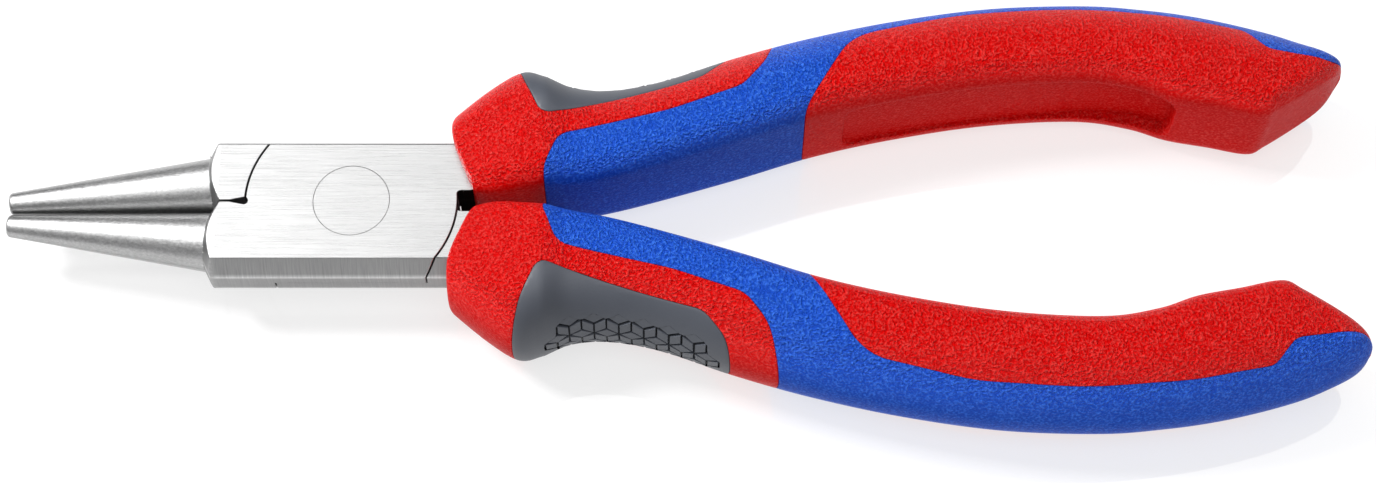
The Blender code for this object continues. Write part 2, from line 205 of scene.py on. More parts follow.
def round_lap(radius, start_deg, end_deg):
    """Points along the curved shoulder of the lap joint."""
    steps = max(2, round(abs(end_deg - start_deg) / LAP_STEP_DEG))
    return arc((0, 0), (radius, radius), start_deg, end_deg, steps)


def tang_blank():
    """The root of the tang, as far as it runs on inside the grip's collar."""
    bm = bmesh.new()
    rings = []
    for x, y, half_width, half_height, bevel_y, bevel_z in TANG_SECTIONS:
        inner, outer = y - half_width, y + half_width
        corners = [
            (inner, -half_height), (inner, half_height),
            (outer - bevel_y, half_height), (outer, half_height - bevel_z),
            (outer, bevel_z - half_height), (outer - bevel_y, -half_height),
        ]
        rings.append([bm.verts.new((x, a, b)) for a, b in corners])
    for ring, after in zip(rings, rings[1:]):
        for i in range(len(ring)):
            j = (i + 1) % len(ring)
            bm.faces.new((ring[i], ring[j], after[j], after[i]))
    bm.faces.new(rings[0])
    bm.faces.new(rings[-1])
    return workpiece("tang_blank", bm)


def joint_block():
    """The bar that the joint is ground from, with its four long bevels."""
    top = [
        (FACE_HALF_WIDTH, HALF_THICK), (FLANK_HALF_WIDTH, FLANK_HALF_HEIGHT),
        (FLANK_HALF_WIDTH, -FLANK_HALF_HEIGHT), (FACE_HALF_WIDTH, -HALF_THICK),
    ]
    outline = top + [(-y, -z) for y, z in top]
    return slab("lever_blank", outline, "X", BLOCK_FRONT_X, BLOCK_REAR_X)


def front_arm():
    """What the other lever takes up in front of the lap, beyond the slit."""
    slit_deg = 180 + math.degrees(math.asin(SLIT / LAP_RADIUS))
    outline = round_lap(LAP_RADIUS, FRONT_ARM_DEG, slit_deg)
    return outline + [(-30, -SLIT), (-30, 14), (outline[0][0], 14)]


def rear_arm():
    """What the other lever takes up behind the lap, with the crotch's round corner."""
    corner_y = CROTCH_Y - CROTCH_CORNER
    corner_deg = math.degrees(math.asin(corner_y / LAP_RADIUS))
    corner_x = LAP_RADIUS * math.cos(math.radians(corner_deg)) + CROTCH_CORNER
    outline = arc((corner_x, corner_y), (CROTCH_CORNER, CROTCH_CORNER), 90, 180, 6)[:-1]
    outline += round_lap(LAP_RADIUS, corner_deg, REAR_ARM_DEG)
    return outline + [(outline[-1][0], -14), (30, -14), (30, CROTCH_Y)]


def forged_lever():
    """Jaw, lap and tang as one forging."""
    blank = joint_block()
    splay = math.atan((JAW_ROOT_RADIUS - JAW_TIP_RADIUS) / (JAW_ROOT_X - JAW_TIP_X))
    axis = Vector((-math.cos(splay), math.sin(splay), 0))
    root = Vector((JAW_ROOT_X, -(JAW_ROOT_RADIUS / math.cos(splay) + JAW_GAP / 2), 0))
    length = (JAW_ROOT_X - JAW_TIP_X) / math.cos(splay)
    taper = (JAW_ROOT_RADIUS - JAW_TIP_RADIUS) / length
    shoulder = [
        (SHOULDER_SLOPE, 0), (SHOULDER_SLOPE, JAW_ROOT_RADIUS - 1.0),
        (-SHOULDER_SLOPE * SHOULDER_REACH, JAW_ROOT_RADIUS + SHOULDER_REACH),
        (SHOULDER_LENGTH, JAW_ROOT_RADIUS + SHOULDER_REACH), (SHOULDER_LENGTH, 0),
    ]
    forge(blank, lathe("shoulder_tool", shoulder, root, axis, 180), "DIFFERENCE")
    forge(blank, tang_blank(), "UNION")
    relief = [(RELIEF_START_X, -SLIT), (RELIEF_START_X, SLIT)]
    relief += arc((RELIEF_X, 0), (RELIEF_RADIUS, RELIEF_RADIUS), 90, -90, 16)
    lap = round_lap(LAP_RADIUS + LAP_SEAM, 0, 358.5)
    for name, outline, top in (
        ("front_arm", front_arm(), CUTTER_REACH), ("rear_arm", rear_arm(), CUTTER_REACH),
        ("relief_drill", relief, CUTTER_REACH), ("lap_cutter", lap, LAP_FACE_GAP / 2),
    ):
        forge(blank, slab(name, outline, "Z", -CUTTER_REACH, top), "DIFFERENCE")
    jaw = [
        (-JAW_SUNK, 0), (-JAW_SUNK, JAW_ROOT_RADIUS + JAW_SUNK * taper),
        (length - JAW_TIP_EASE, JAW_TIP_RADIUS + JAW_TIP_EASE * taper),
    ]
    jaw += [(length - back, JAW_TIP_RADIUS - inward) for back, inward in JAW_TIP_ROUNDING]
    forge(blank, lathe("jaw_bar", jaw + [(length, 0)], root, axis, 120), "UNION")
    half_hole = [
        (-CUTTER_REACH, 0), (-CUTTER_REACH, HEAD_HOLE_RADIUS),
        (-SHANK_HALF_LENGTH, HEAD_HOLE_RADIUS), (-SHANK_HALF_LENGTH, SHANK_HOLE_RADIUS),
    ]
    hole = half_hole + [(-along, radius) for along, radius in half_hole[::-1]]
    upright = Vector((0, 0, 1))
    forge(blank, lathe("rivet_hole", hole, Vector((0, 0, 0)), upright, 128), "DIFFERENCE")
    return blank


def shade(piece, degrees):
    """Smooth shading, kept crisp where faces meet more sharply than this."""
    piece.data.shade_smooth()
    piece.data.set_sharp_from_angle(angle=math.radians(degrees))


def dress_edges(piece, width):
    """Break the sharp edges with a fine bevel, but leave the lap and the rivet's rim tight."""
    shade(piece, 35)
    drawn = bmesh.new()
    drawn.from_mesh(piece.data)
    weight = drawn.edges.layers.float.new("bevel_weight_edge")
    middle = HALF_THICK * MM
    rivet_rim = (HEAD_HOLE_RADIUS + 0.08) * MM
    for edge in drawn.edges:
        in_lap = all(abs(vert.co.z - middle) < LAP_SEAM * MM for vert in edge.verts)
        at_rivet = all(vert.co.xy.length < rivet_rim for vert in edge.verts)
        if edge.calc_face_angle(0.0) > math.radians(24) and not in_lap and not at_rivet:
            edge[weight] = 1.0
    drawn.to_mesh(piece.data)
    drawn.free()
    broken = piece.modifiers.new("broken_edges", "BEVEL")
    broken.width = width
    broken.segments = 2
    broken.limit_method = "WEIGHT"
    broken.use_clamp_overlap = False
    level = piece.modifiers.new("flat_faces", "WEIGHTED_NORMAL")
    level.keep_sharp = True
    level.weight = 90
    piece.data = frozen(piece)


def add_node(tree, kind, inputs=None, **settings):
    """Add a node, set it up, and feed its inputs with values or with other sockets."""
    node = tree.nodes.new(kind)
    for name, value in settings.items():
        setattr(node, name, value)
    feed(tree, node, inputs or {})
    return node


def feed(tree, node, inputs):
    """Set or link a node's inputs."""
    for name, value in inputs.items():
        if isinstance(value, bpy.types.NodeSocket):
            tree.links.new(value, node.inputs[name])
        else:
            node.inputs[name].default_value = value


def maths(tree, operation, *values):
    """One step of arithmetic on numbers or sockets."""
    node = add_node(tree, "ShaderNodeMath", dict(enumerate(values)), operation=operation)
    return node.outputs["Value"]


def finish_tree(name):
    """A new Principled finish with its node tree and its shader."""
    material = bpy.data.materials.new(name)
    material.use_nodes = True
    return material, material.node_tree, material.node_tree.nodes["Principled BSDF"]


def noise(tree, stretch, scale=1.0, detail=2.0, roughness=0.5):
    """Noise on Object coordinates, stretched by a Mapping node."""
    place = add_node(tree, "ShaderNodeTexCoord").outputs["Object"]
    mapping = add_node(tree, "ShaderNodeMapping", {"Vector": place, "Scale": stretch})
    return add_node(tree, "ShaderNodeTexNoise", {
        "Vector": mapping.outputs["Vector"], "Scale": scale,
        "Detail": detail, "Roughness": roughness,
    }).outputs["Fac"]


def spread(tree, value, span, onto=(0.0, 1.0)):
    """Map a value from one range onto another, held at both ends."""
    return add_node(tree, "ShaderNodeMapRange", {
        "Value": value, "From Min": span[0], "From Max": span[1],
        "To Min": onto[0], "To Max": onto[1],
    }).outputs["Result"]


def axes_of(tree, output):
    """X, Y and Z of the place or of the direction that a piece's surface has."""
    place = add_node(tree, "ShaderNodeTexCoord").outputs[output]
    return add_node(tree, "ShaderNodeSeparateXYZ", {"Vector": place}).outputs


def relief_on(tree, shader, height, strength, distance):
    """Fine relief on a finish, from a pattern of heights."""
    bump = add_node(tree, "ShaderNodeBump", {
        "Height": height, "Strength": strength, "Distance": distance,
    })
    tree.links.new(bump.outputs["Normal"], shader.inputs["Normal"])


NOISE_SPAN = (0.3, 0.7)
FACE_TONE = (0.485, 0.575)
BEVEL_TONE = (0.285, 0.415)
JAW_TONE = (0.46, 0.70)
FACE_ROUGHNESS = (0.24, 0.34)
GROUND_ROUGHNESS = (0.34, 0.46)
# How dark the shade painted on the crotch walls behind the joint is
CROTCH_PAINTED_SHADE = 0.03
# Where each finish and each stretch of painted shade or painted highlight starts and ends, in
# metres, and how far its edge is drawn out
BLOCK_START_X = (-0.0166, -0.0156)
SHOULDER_START_X = (-0.0200, -0.0190)
CROTCH_SHADE_START_X = (0.01236, 0.01240)
CROTCH_SHADE_END_Y = (0.00150, 0.00156)
FACE_SHADE_X = (-0.004, 0.015)
SLOT_SHADE_Y = (0.0002, 0.0016)
CREASE_PAINTED_HIGHLIGHT = (0.00006, 0.00045)


def bright_forged_steel():
    """Faces brushed along the tool, bevels ground across it, jaws turned and satin; shade and a
    crease highlight are painted into the tone.
    """
    material, tree, shader = finish_tree("bright_forged_steel")
    at = axes_of(tree, "Object")
    facing = axes_of(tree, "Normal")
    brushed = noise(tree, (150, 8500, 300), detail=3.0, roughness=0.6)
    ground = noise(tree, (6000, 260, 260), detail=3.0)
    satin = noise(tree, (2600, 4200, 4200), detail=3.0, roughness=0.65)
    worn = noise(tree, (90, 160, 160))

    def product(first, *others):
        for other in others:
            first = maths(tree, "MULTIPLY", first, other)
        return first

    def blend(share, first, second):
        mixed = add_node(tree, "ShaderNodeMix", {"Factor": share, "A": first, "B": second})
        return mixed.outputs["Result"]

    flatness = maths(tree, "ABSOLUTE", facing["Z"])
    is_face = spread(tree, flatness, (0.80, 0.96))
    faces_jaw = spread(tree, facing["X"], (-0.7, -0.4), (1.0, 0.0))
    is_shoulder = product(faces_jaw, spread(tree, at["X"], SHOULDER_START_X))
    is_block = maths(tree, "MAXIMUM", spread(tree, at["X"], BLOCK_START_X), is_shoulder)

    def zoned(face, bevel, jaw):
        return blend(is_block, jaw, blend(is_face, bevel, face))

    off_middle = maths(tree, "ABSOLUTE", at["Y"])
    above_middle = maths(tree, "SUBTRACT", at["Z"], HALF_THICK * MM)
    from_middle = maths(tree, "ABSOLUTE", above_middle)
    past_crease = maths(tree, "SUBTRACT", from_middle, FLANK_HALF_HEIGHT * MM)
    from_crease = maths(tree, "ABSOLUTE", past_crease)
    tone = zoned(
        product(
            spread(tree, brushed, NOISE_SPAN, FACE_TONE),
            # Painted shade: the face is darker towards the rear of the joint
            spread(tree, at["X"], FACE_SHADE_X, (1.0, 0.90)),
        ),
        product(
            spread(tree, ground, (0.25, 0.75), BEVEL_TONE),
            # Painted shade: the bevels' upright sides are darker than the sloping bevels
            spread(tree, flatness, (0.05, 0.3), (0.76, 1.0)),
            # Painted highlight: a lighter line along the crease between bevel and side
            spread(tree, from_crease, CREASE_PAINTED_HIGHLIGHT, (1.8, 1.0)),
        ),
        product(
            spread(tree, satin, NOISE_SPAN, JAW_TONE),
            # Painted shade: the jaws' flanks are darker than their crests
            spread(tree, flatness, (0.02, 0.62), (0.62, 1.0)),
            # Painted shade: darker along the slot where the two jaws meet
            spread(tree, off_middle, SLOT_SHADE_Y, (0.62, 1.0)),
        ),
    )
    # Painted shade: the crotch walls between the two tangs behind the joint are painted near
    # black, dull and without gloss, where deep shade falls
    crotch_painted_shade = product(
        spread(tree, at["X"], CROTCH_SHADE_START_X),
        spread(tree, off_middle, CROTCH_SHADE_END_Y, (1.0, 0.0)),
        spread(tree, is_face, (0.0, 0.5), (1.0, 0.0)),
    )
    tone = product(
        tone,
        spread(tree, worn, (0.35, 0.65), (0.95, 1.0)),
        spread(tree, crotch_painted_shade, (0.0, 1.0), (1.0, CROTCH_PAINTED_SHADE)),
    )
    grey = add_node(tree, "ShaderNodeCombineColor", {"Red": tone, "Green": tone, "Blue": tone})
    feed(tree, shader, {
        "Base Color": grey.outputs["Color"],
        "Roughness": zoned(
            spread(tree, brushed, NOISE_SPAN, FACE_ROUGHNESS),
            spread(tree, ground, NOISE_SPAN, GROUND_ROUGHNESS),
            spread(tree, satin, NOISE_SPAN, GROUND_ROUGHNESS),
        ),
        "Metallic": spread(tree, crotch_painted_shade, (0.0, 1.0), (1.0, 0.0)),
        "Specular IOR Level": spread(tree, crotch_painted_shade, (0.0, 1.0), (0.5, 0.0)),
    })
    relief_on(tree, shader, zoned(brushed, ground, satin), 0.35, 0.00004)
    return material


steel = bright_forged_steel()
lever_shape = forged_lever()
for turned_over, body in ((False, "upper_handle"), (True, "lower_handle")):
    lever = placed(body.replace("handle", "forged_lever"), lever_shape.data, turned_over)
    dress_edges(lever, BROKEN_EDGE * MM)
    lever.data.materials.clear()
    lever.data.materials.append(steel)
    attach(lever, body)
    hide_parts(body.replace("handle", "lever"))
bpy.data.objects.remove(lever_shape)


# ------------------------------------------------------------------- joint rivet
# One steel rivet holds the levers. Its heads are wide, ground off flush with
# the joint's faces, and show only as a fine ring.

RIVET_HEAD_RADIUS = 4.495
RIVET_SHANK_RADIUS = 3.2
RIVET_HEAD_START = 2.52
RIVET_RIM = 0.05


def flush_rivet():
    """A shank between two flush heads, each with a finely eased rim."""
    end = HALF_THICK - 0.004
    half = [
        (-end, 0), (-end, RIVET_HEAD_RADIUS - RIVET_RIM), (RIVET_RIM - end, RIVET_HEAD_RADIUS),
        (-RIVET_HEAD_START, RIVET_HEAD_RADIUS), (-RIVET_HEAD_START, RIVET_SHANK_RADIUS),
    ]
    profile = half + [(-along, radius) for along, radius in half[::-1]]
    return lathe("rivet_blank", profile, Vector((0, 0, 0)), Vector((0, 0, 1)), 128)


rivet_shape = flush_rivet()
rivet = placed("flush_joint_rivet", rivet_shape.data, True)
bpy.data.objects.remove(rivet_shape)
shade(rivet, 28)
rivet.data.materials.append(steel)
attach(rivet, "lower_handle")
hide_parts("joint_rivet")


# --------------------------------------------------------------- hard red grips
# The hard red plastic is moulded straight round each tang. It makes the collar
# and the front strip, runs on underneath the soft blue skin, and comes up
# again as the rear panel with a long shallow recess facing the other grip.

SEAM = 0.03
EASED_EDGE = 0.09
EASED_LEVELS = (SEAM / 2, SEAM / 2 + EASED_EDGE / 3, SEAM / 2 + EASED_EDGE)
LET_IN = 0.6
FRONT_FACE_EDGE = 0.6
COLLAR_FACE_X = 14.3
COLLAR_STEP_X = 11.45
COLLAR_SLANT = 0.46
RECESS_EASE = 0.13
RECESS_MIDDLE_X = 78.1
RECESS_HALF_LENGTH = 19.9
RECESS_TOP = 4.4
RECESS_BOTTOM = -4.75
RECESS_CORNER = 1.7
# x along the grip, and how deep the recess is there
RECESS_DEPTHS = [(57.0, 0.6), (72.0, 0.5), (80.0, 0.55), (88.0, 0.95), (93.5, 1.55), (98.5, 2.15)]
GRIP_SECTIONS = [
    # inner x, inner y, outer x, outer y, half height, inner fillet, outer depth
    (13.4, 1.20, 10.2, 10.6, 5.8, 2.0, 3.4),
    (16.8, 0.75, 15.6, 15.2, 7.1, 2.4, 4.6),
    (20.0, 1.05, 19.6, 17.8, 7.9, 2.7, 6.0),
    (22.4, 1.33, 22.3, 17.3, 8.32, 2.9, 6.4),
    (23.2, 1.42, 23.2, 16.95, 8.24, 2.9, 6.5),
    (25.8, 1.83, 26.0, 15.95, 7.6, 3.0, 7.0),
    (30.5, 2.75, 30.5, 15.7, 7.5, 3.0, 7.2),
    (36.5, 4.50, 36.5, 16.9, 7.65, 3.0, 7.2),
    (45.5, 7.40, 45.0, 19.9, 7.9, 3.0, 7.0),
    (55.0, 10.6, 54.0, 22.6, 8.0, 3.0, 7.0),
    (65.0, 13.0, 64.5, 25.0, 8.0, 3.0, 7.0),
    (76.0, 14.8, 76.0, 26.7, 8.0, 3.0, 7.0),
    (87.0, 15.4, 87.5, 27.1, 8.0, 3.0, 7.0),
    (93.5, 14.4, 95.0, 26.5, 8.0, 3.0, 7.0),
    (98.0, 12.8, 100.5, 25.7, 7.9, 3.0, 7.0),
    (103.0, 11.8, 105.5, 24.6, 7.7, 2.8, 7.0),
    (107.8, 10.8, 110.0, 23.3, 7.4, 2.6, 6.6),
    (110.0, 11.8, 112.8, 22.2, 7.1, 2.4, 5.6),
    (113.8, 14.2, 115.3, 20.9, 6.6, 2.0, 3.4),
    (116.2, 15.8, 117.0, 19.9, 5.6, 1.4, 2.0),
    (117.5, 16.9, 117.95, 19.1, 4.3, 0.7, 1.0),
    (118.25, 17.8, 118.35, 18.4, 2.4, 0.2, 0.25),
]
# Plan outlines of the colour fields: x, y and the radius of each corner
FRONT_FIELD = [
    (0, -20, 0), (22.7, -20, 0), (22.7, 2.6, 3.0), (24.4, 7.0, 2.5), (37.6, 10.3, 25.0),
    (46.0, 13.4, 3.5), (48.8, 17.0, 8.0), (50.6, 24.0, 8.0), (51.0, 45, 0), (0, 45, 0),
]
REAR_FIELD = [
    (53.2, -20, 0), (53.3, 10.3, 4.0), (59.3, 20.6, 7.0), (72.0, 23.7, 30.0), (85.0, 24.6, 60.0),
    (97.0, 23.6, 40.0), (106.2, 21.7, 2.0), (108.6, 18.7, 2.2), (115.5, 17.6, 4.0), (125, 17.2, 0),
    (125, -20, 0),
]
THUMB_FIELD = [
    (18.9, 45, 0), (19.0, 18.0, 5.0), (20.2, 14.0, 6.0), (22.3, 9.3, 1.4),
    (41.2, 15.1, 3.5), (43.9, 18.0, 4.0), (45.2, 23.0, 6.0), (45.4, 45, 0),
]
# The rear field's edge sinks by this much round the blunt tip, from this x over this run
TAIL_WRAP = 0.9
TAIL_WRAP_X = 113.0
TAIL_WRAP_RUN = 4.0
TAIL_WRAP_HALF_HEIGHT = 5.5
# Points on each stretch of a section: flat inner side, fillets, faces and palm side
INNER_STEPS, FILLET_STEPS, FACE_STEPS, PALM_STEPS = 16, 6, 8, 30
INNER_MIDDLE = INNER_STEPS // 2 - 1
SPACED_COLUMN = INNER_STEPS + FILLET_STEPS + FACE_STEPS
FINE_SECTIONS = 380
ROW_SPACING = 0.52
FIRST_ROWS = [0, 0.006, 0.02, 0.045, 0.08, 0.13, 0.2, 0.28]
EVEN_ROWS_FROM = 0.38
FRONT_BLEND = 3.0
# Columns of a surface point: place, normal, then how far inside each field it lies
RED, THUMB, RECESS = 6, 7, 8


def smooth_run(sections, position):
    """Catmull-Rom value of the grip's sections at a fractional section number."""
    last = len(sections) - 1
    i = min(int(position), last - 1)
    t = position - i
    p0, p1, p2, p3 = (np.array(sections[min(max(i + k, 0), last)]) for k in (-1, 0, 1, 2))
    bend = 2 * p0 - 5 * p1 + 4 * p2 - p3
    twist = 3 * p1 - 3 * p2 + p3 - p0
    return p1 + 0.5 * t * ((p2 - p0) + t * (bend + t * twist))


def grip_section(position):
    """One closed section: flat inner side, rounded shoulders, elliptical palm side."""
    section = smooth_run(GRIP_SECTIONS, position)
    inner_x, inner_y, outer_x, outer_y, height, fillet, palm = section
    width = math.hypot(outer_x - inner_x, outer_y - inner_y)
    fillet = min(fillet, 0.35 * width)
    palm = min(palm, 0.6 * width)
    flat = width - palm - fillet
    side = height - fillet
    round_off = (fillet, fillet)
    inner_half = INNER_STEPS / 2
    points = [(0.0, side * (i / inner_half - 1)) for i in range(1, INNER_STEPS)]
    points += arc((fillet, side), round_off, 180, 90, FILLET_STEPS)
    points += [(fillet + flat * i / FACE_STEPS, height) for i in range(1, FACE_STEPS)]
    points += arc((width - palm, 0), (palm, height), 90, -90, PALM_STEPS)
    points += [(fillet + flat * i / FACE_STEPS, -height) for i in range(FACE_STEPS - 1, 0, -1)]
    points += arc((fillet, -side), round_off, -90, -180, FILLET_STEPS)
    run_x, run_y = (outer_x - inner_x) / width, (outer_y - inner_y) / width
    return [(inner_x + run_x * t, inner_y + run_y * t, z) for t, z in points]


def collar_face(y):
    """Where the collar's front face stands, a slanting step that clears the other lever."""
    slant = COLLAR_FACE_X - (y - CROTCH_Y) * COLLAR_SLANT
    past_step = slant - COLLAR_STEP_X
    eased = 0.5 * (slant + COLLAR_STEP_X + math.sqrt(past_step ** 2 + 0.5))
    short = eased - COLLAR_FACE_X
    return 0.5 * (eased + COLLAR_FACE_X - math.sqrt(short ** 2 + 0.12))


def grip_surface():
    """The whole grip's surface as rows of points, from the collar's face to the tail."""
    last = len(GRIP_SECTIONS) - 1
    steps = np.linspace(0, last, FINE_SECTIONS + 1)
    dense = np.array([grip_section(step) for step in steps])
    columns = dense.shape[1]
    start = []
    for j in range(columns):
        ahead = [p[0] - collar_face(p[1]) for p in dense[:60, j]]
        k = next(i for i, gap in enumerate(ahead) if gap > 0)
        start.append(steps[k] - steps[1] * ahead[k] / (ahead[k] - ahead[k - 1]))
    runs = np.linalg.norm(np.diff(dense[:, SPACED_COLUMN], axis=0), axis=1)
    lengths = np.concatenate([[0], np.cumsum(runs)])
    even_start = np.interp(EVEN_ROWS_FROM, steps, lengths)
    even = np.interp(np.arange(even_start, lengths[-1], ROW_SPACING), lengths, steps)
    rows = []
    for mark in [*FIRST_ROWS, *even, last]:
        row = []
        for j in range(columns):
            position = mark + start[j] * max(0.0, 1 - mark / FRONT_BLEND)
            row.append([np.interp(position, steps, dense[:, j, axis]) for axis in range(3)])
        rows.append(row)
    return np.array(rows)


def outward(rows):
    """Unit normals of the rows of points, pointing out of the grip."""
    along = np.gradient(rows, axis=0)
    around = np.roll(rows, -1, axis=1) - np.roll(rows, 1, axis=1)
    normal = np.cross(along, around)
    normal /= np.maximum(np.linalg.norm(normal, axis=2, keepdims=True), 1e-9)
    centre = rows.mean(axis=1, keepdims=True)
    return normal if np.sum(normal * (rows - centre)) > 0 else -normal


def rounded_outline(corners):
    """An outline with each corner turned into an arc of its own radius."""
    outline = []
    for i, (x, y, radius) in enumerate(corners):
        here = Vector((x, y))
        if radius == 0:
            outline.append((x, y))
            continue
        to_last = (Vector(corners[i - 1][:2]) - here).normalized()
        to_next = (Vector(corners[(i + 1) % len(corners)][:2]) - here).normalized()
        half = to_last.angle(to_next) / 2
        centre = here + (to_last + to_next).normalized() * (radius / math.sin(half))
        first = here + to_last * (radius / math.tan(half)) - centre
        end = here + to_next * (radius / math.tan(half)) - centre
        begin = math.degrees(math.atan2(first.y, first.x))
        sweep = (math.degrees(math.atan2(end.y, end.x)) - begin + 180) % 360 - 180
        steps = max(3, round(abs(sweep) / 6))
        outline += arc(centre, (radius, radius), begin, begin + sweep, steps)
    return np.array(outline)


def depth_inside(outline, points):
    """Signed distance of plan points from an outline, above zero inside it."""
    start = outline[None]
    run = np.roll(outline, -1, axis=0)[None] - start
    offset = points[:, None] - start
    share = np.clip((offset * run).sum(-1) / np.maximum((run * run).sum(-1), 1e-12), 0, 1)
    distance = np.linalg.norm(offset - run * share[..., None], axis=-1).min(axis=1)
    end_y = start[..., 1] + run[..., 1]
    crosses = (start[..., 1] > points[:, None, 1]) != (end_y > points[:, None, 1])
    slope = run[..., 0] / np.where(np.abs(run[..., 1]) < 1e-12, 1e-12, run[..., 1])
    at_x = start[..., 0] + (points[:, None, 1] - start[..., 1]) * slope
    inside = ((crosses & (points[:, None, 0] < at_x)).sum(axis=1) % 2) == 1
    return np.where(inside, distance, -distance)


def recess_depth(x):
    """How deep the recess is at this place along the grip."""
    places, depths = zip(*RECESS_DEPTHS)
    return float(np.mean([np.interp(x + d, places, depths) for d in (-3, -1.5, 0, 1.5, 3)]))


def recess_field(x, t, z):
    """Distance inside the recess's rounded mouth, on the grip's flat inner side."""
    top = RECESS_TOP - 0.9 * max(0.0, (x - 90) / 8) ** 2
    half_height = (top - RECESS_BOTTOM) / 2
    middle = (top + RECESS_BOTTOM) / 2
    dx = abs(x - RECESS_MIDDLE_X) - (RECESS_HALF_LENGTH - RECESS_CORNER)
    dz = abs(z - middle) - (half_height - RECESS_CORNER)
    outside = math.hypot(max(dx, 0), max(dz, 0)) + min(max(dx, dz), 0) - RECESS_CORNER
    return min(-outside, 1.2 - t)


def grip_rows():
    """The surface's rows and normals, with rings that close the collar's face and the tail."""
    rows = grip_surface()
    normals = outward(rows)
    face_gap = rows[..., 0] - np.vectorize(collar_face)(rows[..., 1])
    left = np.clip(FRONT_FACE_EDGE - face_gap, 0, FRONT_FACE_EDGE)
    inset = FRONT_FACE_EDGE - np.sqrt(FRONT_FACE_EDGE ** 2 - left ** 2)
    rows = rows - normals * inset[..., None] * np.array([0.0, 1.0, 1.0])
    front_middle = rows[0].mean(axis=0)
    front_rings = [front_middle + (rows[0] - front_middle) * share for share in (0.3, 0.6, 0.86)]
    for ring in front_rings:
        ring[:, 0] = [collar_face(y) for y in ring[:, 1]]
    front_middle[0] = collar_face(front_middle[1])
    tail_middle = rows[-1].mean(axis=0) + np.array([0.25, 0, 0])
    tail_rings = [
        tail_middle + (rows[-1] - tail_middle) * share + np.array([0.1 * (1 - share), 0, 0])
        for share in (0.6, 0.25)
    ]
    forward = np.tile([-1.0, 0, 0], (len(front_rings), rows.shape[1], 1))
    backward = np.tile([1.0, 0, 0], (len(tail_rings), rows.shape[1], 1))
    rows = np.concatenate([front_rings, rows, tail_rings])
    return rows, np.concatenate([forward, normals, backward]), front_middle, tail_middle


def grip_faces():
    """The surface's points with their normals and colour fields, and its faces."""
    rows, normals, front_middle, tail_middle = grip_rows()
    count, columns = rows.shape[:2]
    points = np.concatenate([rows.reshape(-1, 3), [front_middle], [tail_middle]])
    directions = np.concatenate([normals.reshape(-1, 3), [[-1, 0, 0]], [[1, 0, 0]]])
    plan = points[:, :2]
    front = depth_inside(rounded_outline(FRONT_FIELD), plan)
    tail_share = np.clip((points[:, 0] - TAIL_WRAP_X) / TAIL_WRAP_RUN, 0, 1)
    tail_share *= np.clip(1 - (points[:, 2] / TAIL_WRAP_HALF_HEIGHT) ** 2, 0, 1)
    thumb = depth_inside(rounded_outline(THUMB_FIELD), plan)
    rear_plan = plan.copy()
    rear_plan[:, 1] -= TAIL_WRAP * tail_share
    rear = depth_inside(rounded_outline(REAR_FIELD), rear_plan)
    from_inner = (rows - rows[:, [INNER_MIDDLE]])[..., :2]
    across = np.append(np.linalg.norm(from_inner, axis=2), [9.0, 9.0])
    recess = [recess_field(x, t, z) for (x, _, z), t in zip(points, across)]
    data = list(np.column_stack([points, directions, np.maximum(front, rear), thumb, recess]))
    faces = []
    around = [(j, (j + 1) % columns) for j in range(columns)]
    last = (count - 1) * columns
    for i in range(0, last, columns):
        faces += [[i + j, i + k, i + columns + k, i + columns + j] for j, k in around]
    front_pole, tail_pole = count * columns, count * columns + 1
    for j, k in around:
        faces += [[j, front_pole, k], [last + j, last + k, tail_pole]]
    return data, faces


def scored(data, faces, field, level):
    """Split every face that a field's level line crosses, so that an edge follows the line."""
    for row in data:
        if abs(row[field] - level) < 0.012:
            row[field] = level
    middle = {}
    result = []
    for face in faces:
        values = [data[i][field] - level for i in face]
        if min(values) >= 0 or max(values) <= 0:
            result.append(face)
            continue
        above = []
        below = []
        for n, i in enumerate(face):
            m = (n + 1) % len(face)
            j = face[m]
            if values[n] >= 0:
                above.append(i)
            if values[n] <= 0:
                below.append(i)
            if values[n] * values[m] < 0:
                key = (min(i, j), max(i, j))
                if key not in middle:
                    share = values[n] / (values[n] - values[m])
                    row = data[i] + (data[j] - data[i]) * share
                    row[field] = level
                    middle[key] = len(data)
                    data.append(row)
                above.append(middle[key])
                below.append(middle[key])
        result += [part for part in (above, below) if len(part) > 2]
    return result


def eased_drop(distance, radius):
    """How far a surface falls away on a rounded edge, this far in from the edge."""
    near = min(max(radius + SEAM / 2 - distance, 0.0), radius)
    return radius - math.sqrt(max(0.0, radius ** 2 - near ** 2))


def side_of(data, face, field, level):
    """Whether a face lies on the upper side of a level line."""
    return sum(data[i][field] for i in face) / len(face) > level


def moulded(name, faces, layers, point_at, bed=None, second_finish=None):
    """Build a body whose faces lie on several layers, walled where two layers part.

    A skin has a bed too: its underside, a layer of its own, walled round its edge.
    One layer and the walls down to it may take the piece's second finish.
    """
    bm = bmesh.new()
    made = {}

    def vert(layer, index):
        if (layer, index) not in made:
            made[(layer, index)] = bm.verts.new(point_at(layer, index))
        return made[(layer, index)]

    owner = {}
    for number, face in enumerate(faces):
        for i, j in zip(face, face[1:] + face[:1]):
            owner[(i, j)] = number
    for face, here in zip(faces, layers):
        seen = bm.faces.new([vert(here, i) for i in face])
        seen.material_index = int(here == second_finish)
        if bed is not None:
            bm.faces.new([vert(bed, i) for i in face[::-1]])
        for i, j in zip(face, face[1:] + face[:1]):
            other = owner.get((j, i))
            there = bed if other is None else layers[other]
            if there is not None and there > here:
                corners = ((here, j), (here, i), (there, i), (there, j))
                wall = bm.faces.new([vert(*corner) for corner in corners])
                wall.material_index = int(there == second_finish)
    bmesh.ops.remove_doubles(bm, verts=bm.verts, dist=0.0004)
    bmesh.ops.recalc_face_normals(bm, faces=bm.faces)
    if bm.calc_volume(signed=True) < 0:
        bmesh.ops.reverse_faces(bm, faces=bm.faces)
    mesh = bpy.data.meshes.new(name)
    bm.to_mesh(mesh)
    bm.free()
    return mesh


